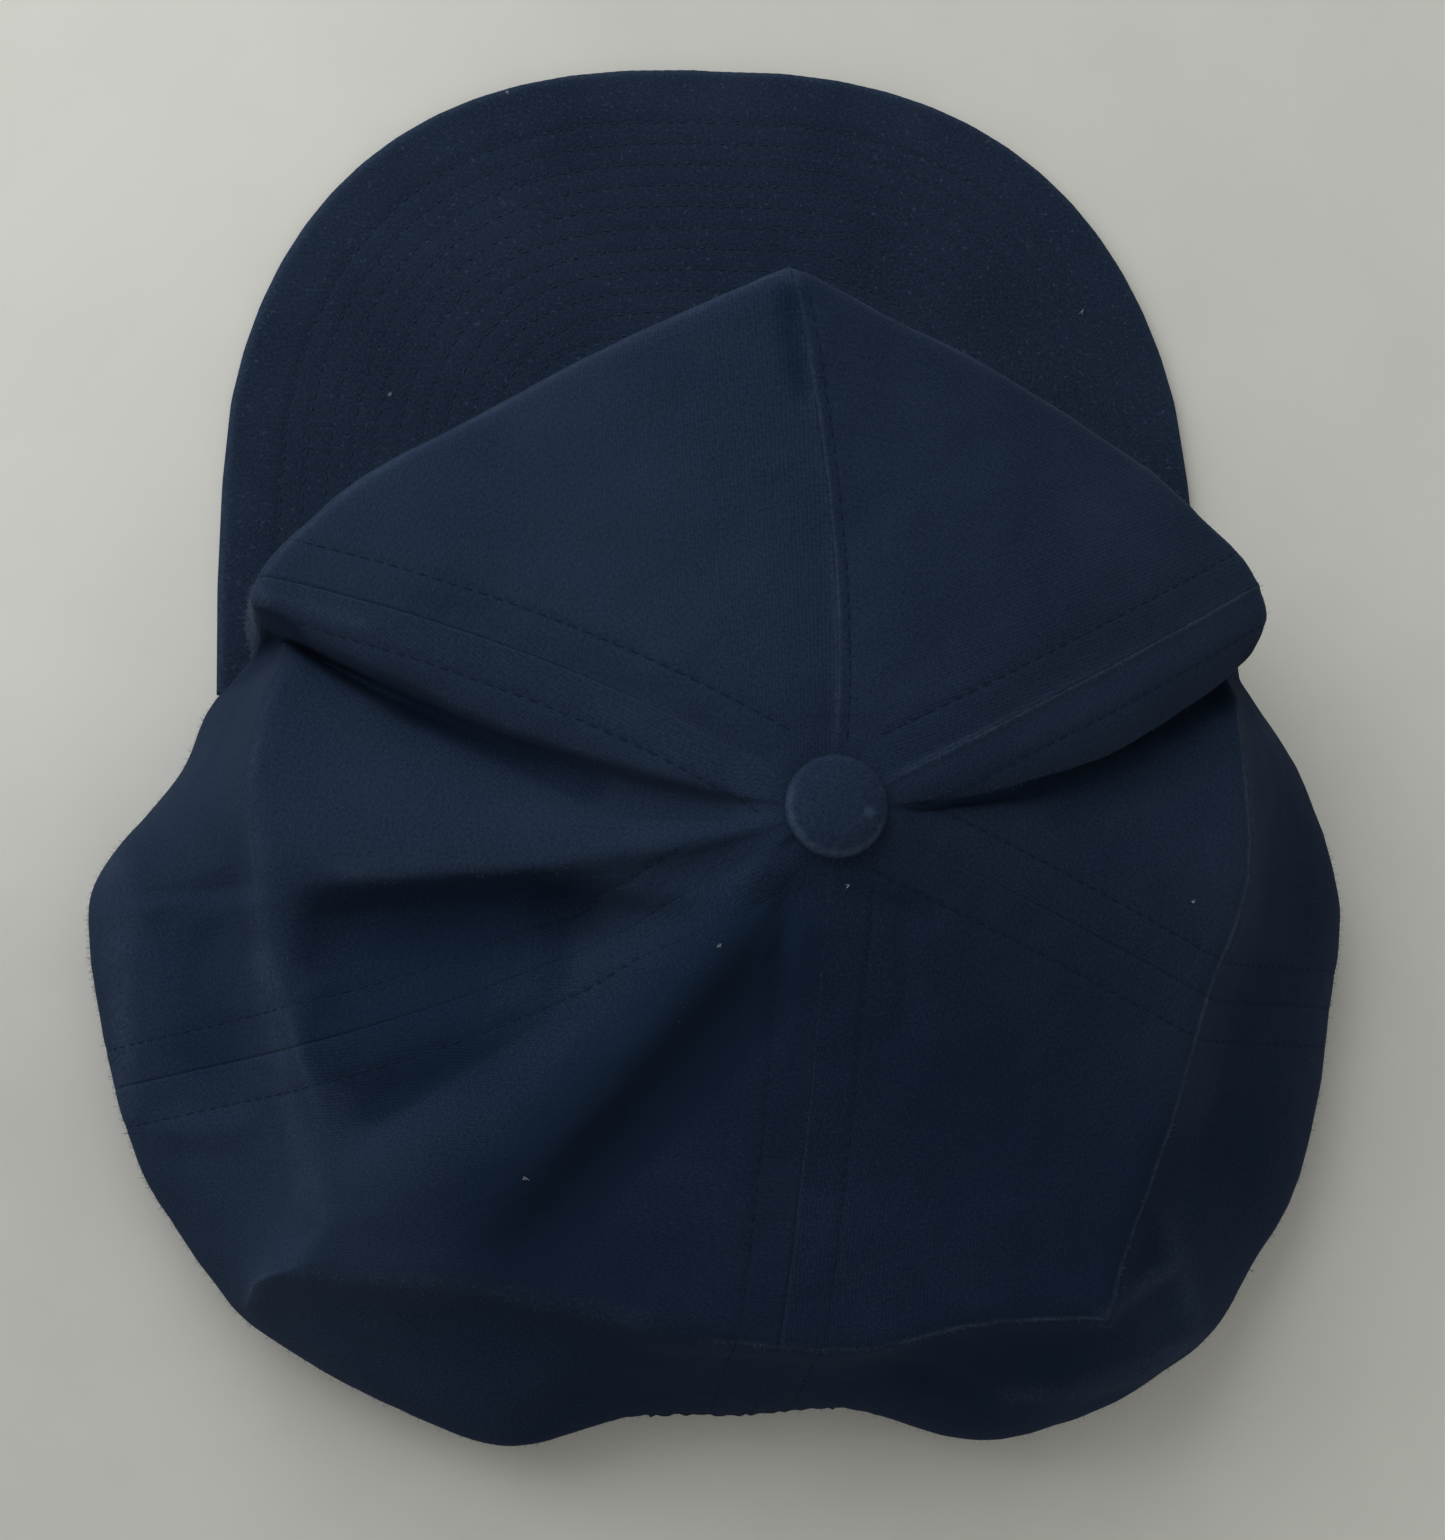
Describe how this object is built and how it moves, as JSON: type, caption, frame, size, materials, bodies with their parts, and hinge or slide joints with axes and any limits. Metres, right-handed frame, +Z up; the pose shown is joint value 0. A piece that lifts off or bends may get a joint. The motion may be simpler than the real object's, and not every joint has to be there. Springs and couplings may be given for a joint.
{
  "type": "peaked cap",
  "caption": "Soft cloth cap of sewn panels with a flat stitched peak, a covered button on top and a gathered elastic hem at the back, lying slumped on its rim.",
  "frame": {"origin": "middle of the bounding box at the surface that the cap lies on", "axes": "+Z up from that surface, -Y the way the peak points, +X the wearer's left"},
  "size_m": [0.2222, 0.2514, 0.0911],
  "materials": {
    "front_twill": "matt dark navy cotton twill, backed",
    "side_twill": "matt dark navy cotton twill",
    "back_twill": "matt dark navy cotton twill",
    "band_casing": "gathered twill casing over elastic",
    "peak_twill": "twill stitched in rows over a stiff board",
    "button_cover": "twill gathered over a metal button"
  },
  "bodies": {
    "root": {"front_panel_left": "front_twill", "front_panel_right": "front_twill", "side_panel_left": "side_twill", "side_panel_right": "side_twill", "back_panel_left": "back_twill", "back_panel_right": "back_twill", "elastic_band": "band_casing", "peak": "peak_twill", "top_button": "button_cover"}
  },
  "joints": []
}
